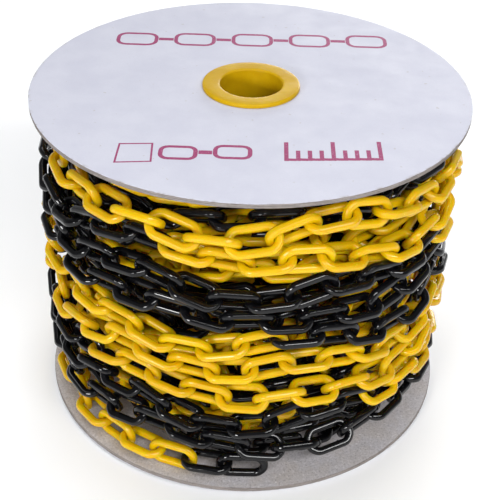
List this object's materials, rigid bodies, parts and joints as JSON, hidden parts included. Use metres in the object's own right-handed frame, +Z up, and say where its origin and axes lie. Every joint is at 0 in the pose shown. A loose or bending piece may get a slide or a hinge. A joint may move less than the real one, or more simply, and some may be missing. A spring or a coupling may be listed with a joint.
{
  "type": "reel of plastic barrier chain",
  "caption": "Cardboard reel with flanged plastic hub bushes, wound with two-colour plastic barrier chain whose free end lies loose on the lower flange.",
  "frame": {"origin": "centre of the underside, on the surface the reel stands on", "axes": "+Z up along the reel's axis, -Y towards the front, where the chain's free end lies, +X to the right"},
  "size_m": [0.31, 0.31, 0.25],
  "materials": {
    "bush_plastic": "yellow polypropylene, satin, slightly grained",
    "greyboard": "raw grey-brown pulp board with a layered edge",
    "face_paper": "cool white coated paper",
    "core_card": "spirally wound brown card",
    "black_chain": "black polyethylene, glossy",
    "yellow_chain": "yellow polyethylene, glossy"
  },
  "bodies": {
    "reel": {"bottom_bush": "bush_plastic", "top_bush": "bush_plastic", "bottom_board": "greyboard", "bottom_paper": "face_paper", "top_board": "greyboard", "top_paper": "face_paper", "core_tube": "core_card", "chain_winding_1_black": "black_chain", "chain_winding_1_yellow": "yellow_chain", "chain_winding_2_black": "black_chain", "chain_winding_2_yellow": "yellow_chain", "chain_winding_3_black": "black_chain", "chain_winding_3_yellow": "yellow_chain", "chain_winding_4_black": "black_chain", "chain_winding_4_yellow": "yellow_chain", "chain_winding_5_black": "black_chain", "chain_winding_5_yellow": "yellow_chain", "chain_winding_6_black": "black_chain", "chain_winding_6_yellow": "yellow_chain"},
    "loose_1": {"tail_link_1": "yellow_chain"},
    "loose_2": {"tail_link_2": "yellow_chain"},
    "loose_3": {"tail_link_3": "yellow_chain"},
    "loose_4": {"tail_link_4": "black_chain"},
    "loose_5": {"tail_link_5": "black_chain"}
  },
  "joints": [
    {"name": "loose_1_swing", "type": "hinge", "parent": "reel", "child": "loose_1", "pos_m": [-0.10391, -0.09872, 0.01771], "axis": [0, 0, -1], "range_deg": [0, 80]},
    {"name": "loose_2_swing", "type": "hinge", "parent": "loose_1", "child": "loose_2", "pos_m": [-0.07942, -0.11931, 0.0177], "axis": [0, 0, -1], "range_deg": [0, 45]},
    {"name": "loose_3_swing", "type": "hinge", "parent": "loose_2", "child": "loose_3", "pos_m": [-0.06283, -0.12882, 0.0177], "axis": [0, 0, -1], "range_deg": [0, 45]},
    {"name": "loose_4_swing", "type": "hinge", "parent": "loose_3", "child": "loose_4", "pos_m": [-0.03268, -0.13955, 0.0177], "axis": [0, 0, -1], "range_deg": [0, 45]},
    {"name": "loose_5_swing", "type": "hinge", "parent": "loose_4", "child": "loose_5", "pos_m": [-0.0138, -0.14266, 0.0177], "axis": [0, 0, -1], "range_deg": [0, 45]}
  ]
}
